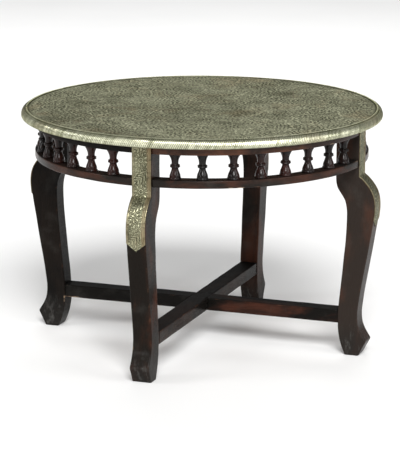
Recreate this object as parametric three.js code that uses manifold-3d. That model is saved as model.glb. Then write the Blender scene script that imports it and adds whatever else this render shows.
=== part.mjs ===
// Round wooden coffee table clad in embossed brass sheet: a moulded top on a spindle gallery,
// four sawn cabriole legs and a half-lapped cross stretcher. Millimetres, +Z up, the origin on
// the floor under the middle of the top, one leg on each of -Y, +X, +Y and -X.
import * as THREE from "three";
import { mergeVertices } from "three/addons/utils/BufferGeometryUtils.js";
import Module from "manifold-3d";

const wasm = await Module();
wasm.setup();

// Driving dimensions
const TOP_RADIUS = 305;
const HEIGHT = 407;
const BOARD_THICKNESS = 13;
const SHEET = 0.8; // brass sheet
const GAP = 0.3; // between two pieces that touch
const BEAD_HEIGHT = 1.4; // rim bead over the top sheet

const LEG_THICKNESS = 32.5;
const LEG_FACE_RADIUS = 282; // the outer face of a leg, where it stands plumb beside the gallery
const LEG_BACK_RADIUS = 242;
const CLADDING_SHOULDER_Z = 234;
const CLADDING_POINT_Z = 222;

const RAIL_WIDTH = 24.5;
const LOWER_RAIL_HEIGHT = 12.6;
const LOWER_RAIL_Z = 323.4;
const SPINDLE_HEIGHT = 41;
const SPINDLE_PIN_RADIUS = 3.6;
const SPINDLE_PIN_LENGTH = 6;

const STRETCHER_WIDTH = 31;
const STRETCHER_HEIGHT = 22;
const STRETCHER_Z = 54;
const STRETCHER_SHOULDER_RADIUS = 248.9;

const RAIL_TENON = { length: 11, width: 13, height: 7 };
const STRETCHER_TENON = { length: 16, width: 12, height: 13 };

// Facets
const LATHE_SEGMENTS = 48;
const RAIL_SEGMENTS = 14;
const SPINDLE_SEGMENTS = 8;
const SCREW_SEGMENTS = 6;

// Derived places
const TOP_SHEET_Z = HEIGHT - BEAD_HEIGHT;
const BOARD_TOP_Z = TOP_SHEET_Z - SHEET - GAP;
const BOARD_Z = BOARD_TOP_Z - BOARD_THICKNESS;
const LEG_TOP_Z = BOARD_Z - GAP;
const SPINDLE_Z = LOWER_RAIL_Z + LOWER_RAIL_HEIGHT;
const UPPER_RAIL_Z = SPINDLE_Z + SPINDLE_HEIGHT;
const UPPER_RAIL_HEIGHT = LEG_TOP_Z - UPPER_RAIL_Z;
const RAIL_MIDDLE_RADIUS = LEG_FACE_RADIUS - RAIL_WIDTH / 2;

const darkWood = new THREE.MeshStandardMaterial({ color: 0x2b1a15, roughness: 0.38, metalness: 0 });
const boardWood = new THREE.MeshStandardMaterial({ color: 0x8a6a48, roughness: 0.7, metalness: 0 });
const agedBrass = new THREE.MeshStandardMaterial({ color: 0x9a9672, roughness: 0.42, metalness: 0.9 });
const steel = new THREE.MeshStandardMaterial({ color: 0x8d8f92, roughness: 0.4, metalness: 0.9 });

// Booleans

function solidOf(geometry) {
  const bare = geometry.clone();
  bare.deleteAttribute("normal");
  bare.deleteAttribute("uv");
  const merged = mergeVertices(bare, 1e-4);
  return new wasm.Manifold(
    new wasm.Mesh({
      numProp: 3,
      vertProperties: merged.attributes.position.array,
      triVerts: new Uint32Array(merged.index.array),
    }),
  );
}

function geometryOf(solid) {
  const mesh = solid.getMesh();
  const geometry = new THREE.BufferGeometry();
  geometry.setAttribute("position", new THREE.BufferAttribute(mesh.vertProperties, 3));
  geometry.setIndex(new THREE.BufferAttribute(mesh.triVerts, 1));
  return geometry;
}

const joined = (base, pieces) => pieces.reduce((solid, piece) => solid.add(solidOf(piece)), base);
const cut = (base, pieces) => pieces.reduce((solid, piece) => solid.subtract(solidOf(piece)), base);

// Small shape makers

const point = ([x, y]) => new THREE.Vector2(x, y);

/** A box given by its lowest and highest corners. */
function boxBetween(low, high) {
  const size = high.map((value, i) => value - low[i]);
  const middle = high.map((value, i) => (value + low[i]) / 2);
  return new THREE.BoxGeometry(...size).translate(...middle);
}

/** A profile of [radius, z] turned about the Z axis. */
function turned(profile, segments = LATHE_SEGMENTS) {
  return new THREE.LatheGeometry(profile.map(point), segments).rotateX(Math.PI / 2);
}

/** A shape drawn in the radius-height plane, extruded to a thickness centred on that plane. */
function sawn(shape, thickness, curveSegments) {
  const options = { depth: thickness, bevelEnabled: false, curveSegments };
  return new THREE.ExtrudeGeometry(shape, options)
    .rotateX(Math.PI / 2)
    .translate(0, thickness / 2, 0);
}

/** A line of points moved sideways to the left of the way it runs. */
function shifted(line, offset) {
  return line.map((here, i) => {
    const before = line[Math.max(i - 1, 0)];
    const after = line[Math.min(i + 1, line.length - 1)];
    const along = after.clone().sub(before).normalize();
    return new THREE.Vector2(here.x - along.y * offset, here.y + along.x * offset);
  });
}

/** A peg or hole along Z, turned about a point. */
function peg(x, y, z, radius, length, segments) {
  return new THREE.CylinderGeometry(radius, radius, length, segments)
    .rotateX(Math.PI / 2)
    .translate(x, y, z + length / 2);
}

// The top: a board with a moulded edge, the embossed sheet and the rope-patterned edge band

/** The moulded edge of the board, from the rim of its top face down to its underside. */
const MOULDED_EDGE = [
  [TOP_RADIUS - 7, BOARD_TOP_Z],
  [TOP_RADIUS - 3.9, BOARD_TOP_Z - 2.1],
  [TOP_RADIUS - 1.8, BOARD_TOP_Z - 5.4],
  [TOP_RADIUS - SHEET - GAP, BOARD_TOP_Z - 9],
  [TOP_RADIUS - 4.8, BOARD_Z],
].map(point);
const BEAD_OUTER_RADIUS = TOP_RADIUS - 7.2;
const BEAD_INNER_RADIUS = BEAD_OUTER_RADIUS - 4.2;
const SHEET_RADIUS = BEAD_INNER_RADIUS - GAP;
const LIP_RADIUS = TOP_RADIUS - 12; // where the edge band ends under the board

function topBoard() {
  const edge = MOULDED_EDGE.map(({ x, y }) => [x, y]);
  return turned([[0, BOARD_Z], ...edge.toReversed(), [0, BOARD_TOP_Z]]);
}

function topSheet() {
  const underside = TOP_SHEET_Z - SHEET;
  return turned([
    [0, underside],
    [SHEET_RADIUS, underside],
    [SHEET_RADIUS, TOP_SHEET_Z],
    [0, TOP_SHEET_Z],
  ]);
}

/** The band round the edge: a rim bead round the sheet, the moulded edge and a lip under the board. */
function edgeBand() {
  const inner = shifted(MOULDED_EDGE, GAP).map(({ x, y }) => [x, y]);
  const outer = shifted(MOULDED_EDGE, GAP + SHEET).map(({ x, y }) => [x, y]);
  const seat = TOP_SHEET_Z + GAP;
  const ring = [
    [BEAD_OUTER_RADIUS, seat],
    [BEAD_OUTER_RADIUS - 1.3, HEIGHT],
    [BEAD_OUTER_RADIUS - 2.9, HEIGHT],
    [BEAD_INNER_RADIUS, seat],
    [BEAD_INNER_RADIUS, BOARD_TOP_Z + GAP],
    ...inner,
    [LIP_RADIUS, BOARD_Z - GAP],
    [LIP_RADIUS, BOARD_Z - GAP - SHEET],
    ...outer.toReversed(),
    [BEAD_OUTER_RADIUS, seat - SHEET / 2],
  ];
  return turned([...ring, ring[0]]);
}

// Legs: sawn from a plank to a cabriole outline in the radius-height plane

const OUTER_KNEE = [
  [282, 307], [287.6, 303.2], [296, 294.6], [304, 283], [308.3, 271], [309.8, 257], [309, 243],
  [306.2, 222], [301, 191], [295.6, 159], [289.6, 126], [285, 96], [282.4, 72], [283.6, 54],
  [288.4, 41], [298, 25.5],
];
const INNER_KNEE = [
  [248.9, 84], [251.3, 102], [253.9, 126], [256.8, 160], [259.9, 196], [261.9, 230], [261.6, 250],
  [258.4, 265], [251.4, 276.5], [245, 286.6], [242.2, 296.5], [242, 306],
];
const FOOT_INNER = [[261.5, 0], [255.8, 13], [251.2, 27], [248.9, 46]];
const FOOT_SOLE_RADIUS = 285.3;

function legOutline() {
  const shape = new THREE.Shape();
  shape.moveTo(LEG_FACE_RADIUS, LEG_TOP_Z);
  shape.lineTo(LEG_BACK_RADIUS, LEG_TOP_Z);
  shape.lineTo(...INNER_KNEE.at(-1));
  shape.splineThru(INNER_KNEE.slice(0, -1).toReversed().map(point));
  shape.lineTo(...FOOT_INNER.at(-1));
  shape.splineThru(FOOT_INNER.slice(0, -1).toReversed().map(point));
  shape.lineTo(FOOT_SOLE_RADIUS, 0);
  shape.lineTo(...OUTER_KNEE.at(-1));
  shape.splineThru(OUTER_KNEE.slice(0, -1).toReversed().map(point));
  shape.closePath();
  return shape;
}

/** The tongue of a rail's end in a leg at a middle height, on the leg's side that side names. */
function railTenon(middle, side, play = 0) {
  const { length, width, height } = RAIL_TENON;
  const radius = RAIL_MIDDLE_RADIUS;
  const face = side * (LEG_THICKNESS / 2 + GAP + 2);
  const end = side * (LEG_THICKNESS / 2 - length - play);
  return boxBetween(
    [radius - width / 2 - play, Math.min(face, end), middle - height / 2 - play],
    [radius + width / 2 + play, Math.max(face, end), middle + height / 2 + play],
  );
}

/** The tongue of a stretcher's end inside the leg on +X. */
function stretcherTenon(play = 0) {
  const { length, width, height } = STRETCHER_TENON;
  const middle = STRETCHER_Z + STRETCHER_HEIGHT / 2;
  return boxBetween(
    [STRETCHER_SHOULDER_RADIUS - GAP - 2, -width / 2 - play, middle - height / 2 - play],
    [STRETCHER_SHOULDER_RADIUS + length + play, width / 2 + play, middle + height / 2 + play],
  );
}

function leg() {
  const blank = solidOf(sawn(legOutline(), LEG_THICKNESS, 1));
  const middles = [
    LOWER_RAIL_Z + LOWER_RAIL_HEIGHT / 2,
    UPPER_RAIL_Z + UPPER_RAIL_HEIGHT / 2,
  ];
  const mortises = middles.flatMap((middle) => [
    railTenon(middle, 1, GAP),
    railTenon(middle, -1, GAP),
  ]);
  return geometryOf(cut(blank, [...mortises, stretcherTenon(GAP)]));
}

/** Points along the leg's outer face from its top down to below the cladding's point. */
function faceLine() {
  const knee = new THREE.SplineCurve(OUTER_KNEE.map(point));
  const below = knee.getPoints(45).filter(({ y }) => y > CLADDING_POINT_Z - 6);
  return [new THREE.Vector2(LEG_FACE_RADIUS, LEG_TOP_Z - GAP), ...below];
}

/** The embossed brass sheet on a leg's outer face, cut to a point at its lower end. */
function legCladding() {
  const face = faceLine();
  const ribbon = new THREE.Shape([
    ...shifted(face, GAP + SHEET),
    ...shifted(face, GAP).toReversed(),
  ]);
  const half = LEG_THICKNESS / 2;
  const pattern = new THREE.Shape(
    [
      [-half, HEIGHT],
      [-half, CLADDING_SHOULDER_Z],
      [0, CLADDING_POINT_Z],
      [half, CLADDING_SHOULDER_Z],
      [half, HEIGHT],
    ].map(point),
  );
  const options = { depth: 2 * RAIL_WIDTH, bevelEnabled: false };
  const outline = new THREE.ExtrudeGeometry(pattern, options)
    .rotateX(Math.PI / 2)
    .rotateZ(Math.PI / 2)
    .translate(LEG_FACE_RADIUS - 10, 0, 0);
  const wide = solidOf(sawn(ribbon, LEG_THICKNESS + 4, 1));
  return geometryOf(wide.intersect(solidOf(outline)));
}

// The gallery: a lower and an upper rail in each quarter with turned spindles pegged between them

/** Degrees round each quarter from one leg to the next where its hand-set spindles stand. */
const SPINDLE_DEGREES = {
  back_right: [11, 20.7, 30.4, 40.1, 49.9, 59.6, 69.3, 79],
  back_left: [11, 20.7, 30.4, 40.1, 49.9, 59.6, 69.3, 79],
  front_left: [11.5, 21, 30.5, 40, 49.5, 59, 68.5, 78.1],
  front_right: [10.8, 20.1, 30.7, 40.3, 49.7, 59.2, 69.6, 79.2],
};

/** A quarter of a rail ring between two legs, its ends parallel to the legs' sides. */
function railOutline() {
  const outer = LEG_FACE_RADIUS;
  const inner = LEG_FACE_RADIUS - RAIL_WIDTH;
  const clear = LEG_THICKNESS / 2 + GAP;
  const outerAngle = Math.asin(clear / outer);
  const innerAngle = Math.asin(clear / inner);
  const shape = new THREE.Shape();
  shape.absarc(0, 0, outer, outerAngle, Math.PI / 2 - outerAngle, false);
  shape.absarc(0, 0, inner, Math.PI / 2 - innerAngle, innerAngle, true);
  shape.closePath();
  return shape;
}

/** Peg holes from a height up, one for each spindle. */
function pegHoles(angles, z) {
  const radius = (SPINDLE_PIN_RADIUS + GAP) / Math.cos(Math.PI / SPINDLE_SEGMENTS);
  return angles.map((angle) =>
    peg(
      RAIL_MIDDLE_RADIUS * Math.cos(angle),
      RAIL_MIDDLE_RADIUS * Math.sin(angle),
      z,
      radius,
      SPINDLE_PIN_LENGTH + GAP + 2,
      SPINDLE_SEGMENTS,
    ),
  );
}

function rail(angles, z, height, holeZ, extraCuts = []) {
  const options = { depth: height, bevelEnabled: false, curveSegments: RAIL_SEGMENTS / 2 };
  const blank = solidOf(new THREE.ExtrudeGeometry(railOutline(), options).translate(0, 0, z));
  const middle = z + height / 2;
  const tenons = [railTenon(middle, 1), railTenon(middle, -1).rotateZ(Math.PI / 2)];
  return geometryOf(cut(joined(blank, tenons), [...pegHoles(angles, holeZ), ...extraCuts]));
}

function lowerRail(angles) {
  return rail(angles, LOWER_RAIL_Z, LOWER_RAIL_HEIGHT, SPINDLE_Z - SPINDLE_PIN_LENGTH - GAP);
}

function upperRail(angles) {
  return rail(angles, UPPER_RAIL_Z, UPPER_RAIL_HEIGHT, UPPER_RAIL_Z - 2, [topScrew(GAP)]);
}

/** Spindle radii against height: flared foot, neck, collar, neck and flared head. */
const SPINDLE_PROFILE = [
  [10.3, GAP], [9.8, 6], [6.2, 16], [6, 19], [8.6, 20.8], [8.6, 23.4], [6.2, 26], [6.4, 31],
  [10.2, SPINDLE_HEIGHT - GAP],
];

function spindle(angle) {
  const pin = SPINDLE_PIN_RADIUS;
  const profile = [
    [0, -SPINDLE_PIN_LENGTH],
    [pin, -SPINDLE_PIN_LENGTH],
    [pin, GAP],
    ...SPINDLE_PROFILE,
    [pin, SPINDLE_HEIGHT - GAP],
    [pin, SPINDLE_HEIGHT + SPINDLE_PIN_LENGTH],
    [0, SPINDLE_HEIGHT + SPINDLE_PIN_LENGTH],
  ];
  return turned(profile, SPINDLE_SEGMENTS).translate(
    RAIL_MIDDLE_RADIUS * Math.cos(angle),
    RAIL_MIDDLE_RADIUS * Math.sin(angle),
    SPINDLE_Z,
  );
}

// Countersunk wood screws: one up through each upper rail into the board, one up through the lap

/** A screw pointing up from its head at z, made larger all round by play for the hole it needs. */
function woodScrew(x, y, z, headRadius, length, play) {
  const shank = headRadius * 0.48 + play;
  const head = headRadius + play;
  const profile = [
    [0, -play],
    [head, -play],
    [head, play],
    [shank, headRadius * 0.55 + play],
    [shank, length - headRadius],
    [0, length + play],
  ];
  return turned(profile, SCREW_SEGMENTS).translate(x, y, z);
}

function topScrew(play = 0) {
  const across = RAIL_MIDDLE_RADIUS * Math.SQRT1_2;
  return woodScrew(across, across, UPPER_RAIL_Z + 0.4, 3.8, 23, play);
}

const lapScrew = (play = 0) => woodScrew(0, 0, STRETCHER_Z + 0.4, 3.8, 17, play);

// Cross stretcher: two bars halved into each other, tenoned into the legs

/** A stretcher along X with its half of the lap taken out between two heights. */
function stretcher(notchLow, notchHigh) {
  const reach = STRETCHER_SHOULDER_RADIUS - GAP;
  const half = STRETCHER_WIDTH / 2;
  const bar = boxBetween([-reach, -half, STRETCHER_Z], [reach, half, STRETCHER_Z + STRETCHER_HEIGHT]);
  const notch = boxBetween(
    [-half - GAP, -half - 2, notchLow],
    [half + GAP, half + 2, notchHigh],
  );
  const tenons = [stretcherTenon(), stretcherTenon().rotateZ(Math.PI)];
  return geometryOf(cut(joined(solidOf(bar), tenons), [notch, lapScrew(GAP)]));
}

const LAP_Z = STRETCHER_Z + STRETCHER_HEIGHT / 2;
const lapUnder = () => stretcher(LAP_Z, STRETCHER_Z + STRETCHER_HEIGHT + 2);
const lapOver = () => stretcher(STRETCHER_Z - 2, LAP_Z + GAP).rotateZ(Math.PI / 2);

// Assembly

const table = new THREE.Group();

function add(name, geometry, material, quarter = 0) {
  const mesh = new THREE.Mesh(geometry, material);
  mesh.name = name;
  mesh.rotation.z = quarter * (Math.PI / 2);
  table.add(mesh);
}

function drilledBoard() {
  const holes = [0, 1, 2, 3].map((quarter) => topScrew(GAP).rotateZ(quarter * (Math.PI / 2)));
  return geometryOf(cut(solidOf(topBoard()), holes));
}

add("top_board", drilledBoard(), boardWood);
add("brass_top_sheet", topSheet(), agedBrass);
add("brass_edge_band", edgeBand(), agedBrass);

const SIDES = ["right", "back", "left", "front"];
const QUARTERS = ["back_right", "back_left", "front_left", "front_right"];
SIDES.forEach((side, quarter) => {
  add(`leg_${side}`, leg(), darkWood, quarter);
  add(`leg_cladding_${side}`, legCladding(), agedBrass, quarter);
});
QUARTERS.forEach((corner, quarter) => {
  const angles = SPINDLE_DEGREES[corner].map(THREE.MathUtils.degToRad);
  add(`lower_rail_${corner}`, lowerRail(angles), darkWood, quarter);
  add(`upper_rail_${corner}`, upperRail(angles), darkWood, quarter);
  add(`top_screw_${corner}`, topScrew(), steel, quarter);
  angles.forEach((angle, i) => {
    add(`spindle_${corner}_${i + 1}`, spindle(angle), darkWood, quarter);
  });
});

add("stretcher_left_right", lapUnder(), darkWood);
add("stretcher_front_back", lapOver(), darkWood);
add("stretcher_screw", lapScrew(), steel);

export default table;
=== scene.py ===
"""Round coffee table: embossed brass top and leg faces, spindle gallery, cabriole legs.

Everything is in metres in the CAD frame: +Z up, the origin on the floor under the top's middle,
one leg on each of -Y, +X, +Y and -X. Profiles below are written in millimetres.
"""
import copy
import math

import bpy
import numpy as np
from mathutils import Matrix, Vector, noise


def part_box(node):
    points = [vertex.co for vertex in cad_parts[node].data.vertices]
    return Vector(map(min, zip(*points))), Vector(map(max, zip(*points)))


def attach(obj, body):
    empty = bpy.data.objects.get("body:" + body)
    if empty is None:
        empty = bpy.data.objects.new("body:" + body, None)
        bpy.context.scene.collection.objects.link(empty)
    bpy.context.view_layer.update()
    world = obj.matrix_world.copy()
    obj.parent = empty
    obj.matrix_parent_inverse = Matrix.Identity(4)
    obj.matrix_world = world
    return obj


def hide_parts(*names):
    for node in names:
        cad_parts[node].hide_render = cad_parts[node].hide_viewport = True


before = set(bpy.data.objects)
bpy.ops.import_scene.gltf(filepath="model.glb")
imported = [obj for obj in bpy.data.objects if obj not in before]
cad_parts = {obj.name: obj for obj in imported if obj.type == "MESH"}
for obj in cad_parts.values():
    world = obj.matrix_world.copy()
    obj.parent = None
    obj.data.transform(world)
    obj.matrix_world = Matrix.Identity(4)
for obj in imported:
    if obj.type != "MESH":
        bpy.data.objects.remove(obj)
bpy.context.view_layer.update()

MM = 0.001
QUARTER = math.pi / 2
SIDES = ["right", "back", "left", "front"]  # a quarter turn apart, from +X
CORNERS = ["back_right", "back_left", "front_left", "front_right"]
SHEET_TOP_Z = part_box("brass_top_sheet")[1][2] / MM
LEG_TOP_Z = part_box("leg_front")[1][2] / MM
LEG_HALF = (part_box("leg_front")[1][0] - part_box("leg_front")[0][0]) / 2 / MM
STRETCHER_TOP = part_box("stretcher_left_right")[1][2]  # in metres, as materials have it
LOWER_RAIL_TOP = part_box("lower_rail_front_right")[1][2]
GAP = 0.3  # a small clearance where pieces meet
noise.seed_set(7)  # noise_vector's field is a new one in every run until it is seeded


# ---------------------------------------------------------------- materials

class Shader:
    """One material's node tree. put adds a node of any kind, feed sets or links an input, and finish
    makes the material. Each other method adds one node and returns its output."""

    def __init__(self, name):
        self.material = bpy.data.materials.new(name)
        self.material.use_nodes = True
        self.tree = self.material.node_tree
        self.tree.nodes.clear()
        self.where = self.put("ShaderNodeTexCoord").outputs["Object"]

    def put(self, kind, inputs=(), **settings):
        node = self.tree.nodes.new(kind)
        for key, value in settings.items():
            setattr(node, key, value)
        for key, value in dict(inputs).items():
            self.feed(node.inputs[key], value)
        return node

    def feed(self, socket, value):
        if isinstance(value, bpy.types.NodeSocket):
            self.tree.links.new(value, socket)
        elif isinstance(value, tuple) and len(value) == 3 and socket.type == "RGBA":
            socket.default_value = (*value, 1)
        else:
            socket.default_value = value

    def moved(self, scale=(1, 1, 1), turn=(0, 0, 0), where=None):
        return self.put(
            "ShaderNodeMapping",
            {"Vector": where or self.where, "Scale": scale, "Rotation": turn},
        ).outputs[0]

    def noise(self, scale, detail=3, roughness=0.55, where=None, distortion=0.0):
        return self.put(
            "ShaderNodeTexNoise",
            {
                "Vector": where or self.where,
                "Scale": scale,
                "Detail": detail,
                "Roughness": roughness,
                "Distortion": distortion,
            },
        ).outputs[0]

    def cells(self, scale):
        return self.put("ShaderNodeTexVoronoi", {"Vector": self.where, "Scale": scale}).outputs[0]

    def fit(self, value, low, high, to_low=0.0, to_high=1.0, smooth=True):
        return self.put(
            "ShaderNodeMapRange",
            {
                "Value": value,
                "From Min": low,
                "From Max": high,
                "To Min": to_low,
                "To Max": to_high,
            },
            interpolation_type="SMOOTHSTEP" if smooth else "LINEAR",
        ).outputs[0]

    def math(self, operation, a, b=0.0, clamp=False):
        node = self.put("ShaderNodeMath", operation=operation, use_clamp=clamp)
        self.feed(node.inputs[0], a)
        self.feed(node.inputs[1], b)
        return node.outputs[0]

    def mix(self, factor, a, b, blend="MIX"):
        node = self.put("ShaderNodeMix", data_type="RGBA", blend_type=blend)
        self.feed(node.inputs[0], factor)
        self.feed(node.inputs[6], a)
        self.feed(node.inputs[7], b)
        return node.outputs[2]

    def attribute(self, name):
        return self.put("ShaderNodeAttribute", attribute_name=name).outputs["Fac"]

    def bump(self, height, distance, strength=1.0, normal=None):
        inputs = {"Height": height, "Distance": distance, "Strength": strength}
        if normal:
            inputs["Normal"] = normal
        return self.put("ShaderNodeBump", inputs).outputs[0]

    def finish(self, **sockets):
        names = {
            key.replace("_", " ").title().replace("Ior", "IOR"): value
            for key, value in sockets.items()
        }
        shader = self.put("ShaderNodeBsdfPrincipled", names)
        output = self.put("ShaderNodeOutputMaterial")
        self.tree.links.new(shader.outputs[0], output.inputs[0])
        return self.material


def brass(name, high, low, patina, tarnish, roughness, ground_stipple, mottle=0.4,
          glancing=(1, 1, 1)):
    """Aged embossed brass: rubbed to high on the crests, low on the flats and patina in the
    crevices. Tarnish dulls it in blotches, mottle says how strongly it is stained, ground_stipple
    how fine its punched ground is, and glancing is its tint where it is seen edge-on."""
    s = Shader(name)
    relief = s.attribute("relief")
    grit = s.noise(420, 4, 0.65)
    worn = s.math("ADD", s.attribute("worn"), s.fit(grit, 0.3, 0.7, -0.12, 0.12, smooth=False))
    metal = s.mix(s.fit(worn, 0.08, 0.48), patina, low)
    metal = s.mix(s.fit(worn, 0.52, 0.92), metal, high)
    metal = s.mix(s.math("MULTIPLY", s.attribute("bronze"), 0.6), metal, (0.27, 0.18, 0.095))
    blotches = s.noise(9, 5, 0.6, distortion=0.6)
    metal = s.mix(s.fit(blotches, 0.42, 0.66, 0.0, 0.35 + mottle / 2), metal, s.mix(0.6, metal, tarnish))
    clouds = s.noise(21, 5, 0.65)
    metal = s.mix(s.fit(clouds, 0.44, 0.66, 0.0, 0.2 + mottle / 2), metal, s.mix(0.6, metal, high))
    stains = s.fit(s.noise(70, 5, 0.75, distortion=1.0), 0.48, 0.62, 0.0, mottle)
    metal = s.mix(stains, metal, s.mix(0.75, metal, patina))
    browns = s.fit(s.noise(14, 4, 0.6, distortion=0.8), 0.5, 0.72, 0.0, mottle)
    metal = s.mix(browns, metal, (0.85, 0.68, 0.6), "MULTIPLY")
    spots = s.fit(s.cells(150), 0.0, 0.16, 1.0, 0.0)
    rare = s.fit(s.noise(60, 2), 0.52, 0.62)
    metal = s.mix(s.math("MULTIPLY", spots, s.math("MULTIPLY", rare, 0.55)), metal, patina)
    rough = s.fit(s.math("ADD", blotches, s.math("MULTIPLY", grit, 0.5)), 0.45, 1.0,
                  roughness - 0.08, roughness + 0.14)
    rough = s.math("ADD", rough, s.fit(worn, 0.1, 0.6, 0.22, 0.0), clamp=True)
    stipple = s.math("MULTIPLY", s.fit(s.cells(ground_stipple), 0.05, 0.5),
                     s.fit(relief, 0.05, 0.4, 1.0, 0.0))
    normal = s.bump(stipple, 0.00035, 0.9)
    normal = s.bump(s.noise(1500, 3, 0.6), 0.00009, 0.6, normal)
    normal = s.bump(s.noise(70, 2), 0.0009, 0.25, normal)
    return s.finish(base_color=metal, metallic=0.94, roughness=rough, normal=normal,
                    specular_tint=(*glancing, 1))


def wood(name, turn=0.0, upright=False, deep=(0.011, 0.0088, 0.0072), warm=(0.045, 0.018, 0.011),
         gloss=0.04, painted_shade_below_x=None, painted_shade_top=None):
    """Stained wood, deep with patches of warm, under worn varnish of strength gloss. The grain runs
    upright, or level at an angle of turn from X. No warm patches lie below painted_shade_below_x, a
    painted shade; from the height painted_shade_top up it is matt and painted near-black as shade."""
    s = Shader(name)
    along = s.moved(turn=(0, 0, -turn))
    along = s.moved(scale=(1, 1, 0.07) if upright else (0.07, 1, 1), where=along)
    streaks = s.moved(scale=(1, 1, 0.4) if upright else (0.4, 1, 1), where=s.moved(turn=(0, 0, -turn)))
    patches = s.noise(19, 4, 0.6, streaks, 0.5)
    figure = s.noise(90, 5, 0.6, along, 0.6)
    fibres = s.noise(620, 4, 0.7, along)
    rich = s.fit(patches, 0.42, 0.64)
    # Painted shade: below this x the warm patches fade to none, leaving that end of the piece black as
    # if unlit.
    if painted_shade_below_x is not None:
        across = s.put("ShaderNodeSeparateXYZ", {"Vector": s.where}).outputs[0]
        rich = s.math("MULTIPLY", rich, s.fit(across, painted_shade_below_x, painted_shade_below_x + 0.1))
    tone = s.mix(rich, deep, warm)
    tone = s.mix(s.fit(figure, 0.42, 0.66, 0.0, 0.42), tone, deep)
    tone = s.mix(s.fit(fibres, 0.5, 0.78, 0.0, 0.22), tone, (0.004, 0.003, 0.0026))
    edge = s.attribute("edge")
    rubbed = s.fit(s.math("ADD", edge, s.noise(60, 5, 0.65)), 1.53, 1.76)
    tone = s.mix(s.math("MULTIPLY", rubbed, 0.7), tone, (0.085, 0.042, 0.024))
    chips = s.fit(s.math("ADD", s.math("MULTIPLY", edge, 0.5), s.noise(24, 4, 0.62)), 1.14, 1.19)
    tone = s.mix(s.math("MULTIPLY", chips, 0.75), tone, (0.3, 0.21, 0.14))
    height = s.put("ShaderNodeSeparateXYZ", {"Vector": s.where}).outputs[2]
    low = s.fit(height, 0.015, 0.065, 1.0, 0.0)
    tone = s.mix(s.math("MULTIPLY", low, 0.75), tone, (0.016, 0.0145, 0.013))
    kicks = s.fit(s.noise(150, 5, 0.75, s.moved(scale=(1, 1, 0.35))), 0.5, 0.68)
    kicked = s.math("MULTIPLY", s.math("MULTIPLY", low, kicks), 0.55)
    tone = s.mix(kicked, tone, (0.085, 0.083, 0.078))
    scuffs = s.fit(s.noise(240, 5, 0.7, s.moved(scale=(1, 0.25, 1), turn=(0.5, 0.3, 0.6))), 0.5, 0.8)
    dust = s.fit(s.noise(26, 4, 0.6), 0.52, 0.78)
    tone = s.mix(s.math("MULTIPLY", dust, 0.1), tone, (0.12, 0.115, 0.105))
    rough = s.math("ADD", s.fit(fibres, 0.3, 0.8, 0.24, 0.36), s.math("MULTIPLY", scuffs, 0.2))
    rough = s.math("ADD", rough, s.math("MULTIPLY", s.math("MAXIMUM", rubbed, kicked), 0.25), clamp=True)
    # Painted shade: from this height up the wood is mixed towards near-black and made matt, standing in
    # for the shade under the table top on the pieces' upper faces.
    if painted_shade_top is not None:
        top = s.fit(height, painted_shade_top - 0.0008, painted_shade_top - 0.0002)
        tone = s.mix(s.math("MULTIPLY", top, 0.7), tone, (0.0035, 0.003, 0.0027))
        rough = s.math("ADD", rough, s.math("MULTIPLY", top, 0.45), clamp=True)
    normal = s.bump(fibres, 0.0002, 0.25)
    normal = s.bump(s.noise(45, 2), 0.0012, 0.2, normal)
    return s.finish(
        base_color=tone,
        roughness=rough,
        specular_ior_level=min(gloss, 0.12),
        coat_weight=gloss,
        coat_roughness=0.09,
        coat_ior=1.3,
        normal=normal,
    )


def bare_board(name):
    """The unfinished underside of the top: wide planks with saw marks and dark joints."""
    s = Shader(name)
    along = s.moved(scale=(0.07, 1, 1))
    figure = s.noise(38, 5, 0.6, along, 0.8)
    fibres = s.noise(380, 4, 0.7, along)
    plank = s.put("ShaderNodeTexWave", {"Vector": s.where, "Scale": 3.3, "Distortion": 0.0},
                  bands_direction="Y", wave_profile="SAW").outputs[1]
    seam = s.fit(plank, 0.0, 0.012, 1.0, 0.0)
    tone = s.mix(s.fit(figure, 0.3, 0.72), (0.26, 0.155, 0.085), (0.115, 0.062, 0.032))
    tone = s.mix(s.fit(fibres, 0.5, 0.8, 0.0, 0.6), tone, (0.07, 0.04, 0.022))
    tone = s.mix(s.fit(s.noise(7, 4, 0.6), 0.45, 0.75, 0.0, 0.5), tone, (0.09, 0.06, 0.04))
    tone = s.mix(seam, tone, (0.012, 0.008, 0.006))
    saw = s.put("ShaderNodeTexWave", {"Vector": s.where, "Scale": 120, "Distortion": 1.5},
                bands_direction="X").outputs[1]
    normal = s.bump(fibres, 0.0004, 0.6)
    normal = s.bump(saw, 0.0003, 0.2, normal)
    normal = s.bump(seam, 0.001, -0.8, normal)
    return s.finish(base_color=tone, roughness=s.fit(fibres, 0.3, 0.8, 0.62, 0.82), normal=normal)


def steel(name):
    """Plain screw steel, dulled and brown in places."""
    s = Shader(name)
    rust = s.fit(s.noise(700, 4, 0.6), 0.48, 0.66)
    tone = s.mix(rust, (0.36, 0.36, 0.35), (0.13, 0.075, 0.045))
    rough = s.fit(rust, 0, 1, 0.34, 0.75)
    normal = s.bump(s.noise(2600, 3), 0.00008, 0.6)
    return s.finish(base_color=tone, metallic=0.85, roughness=rough, normal=normal)


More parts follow.
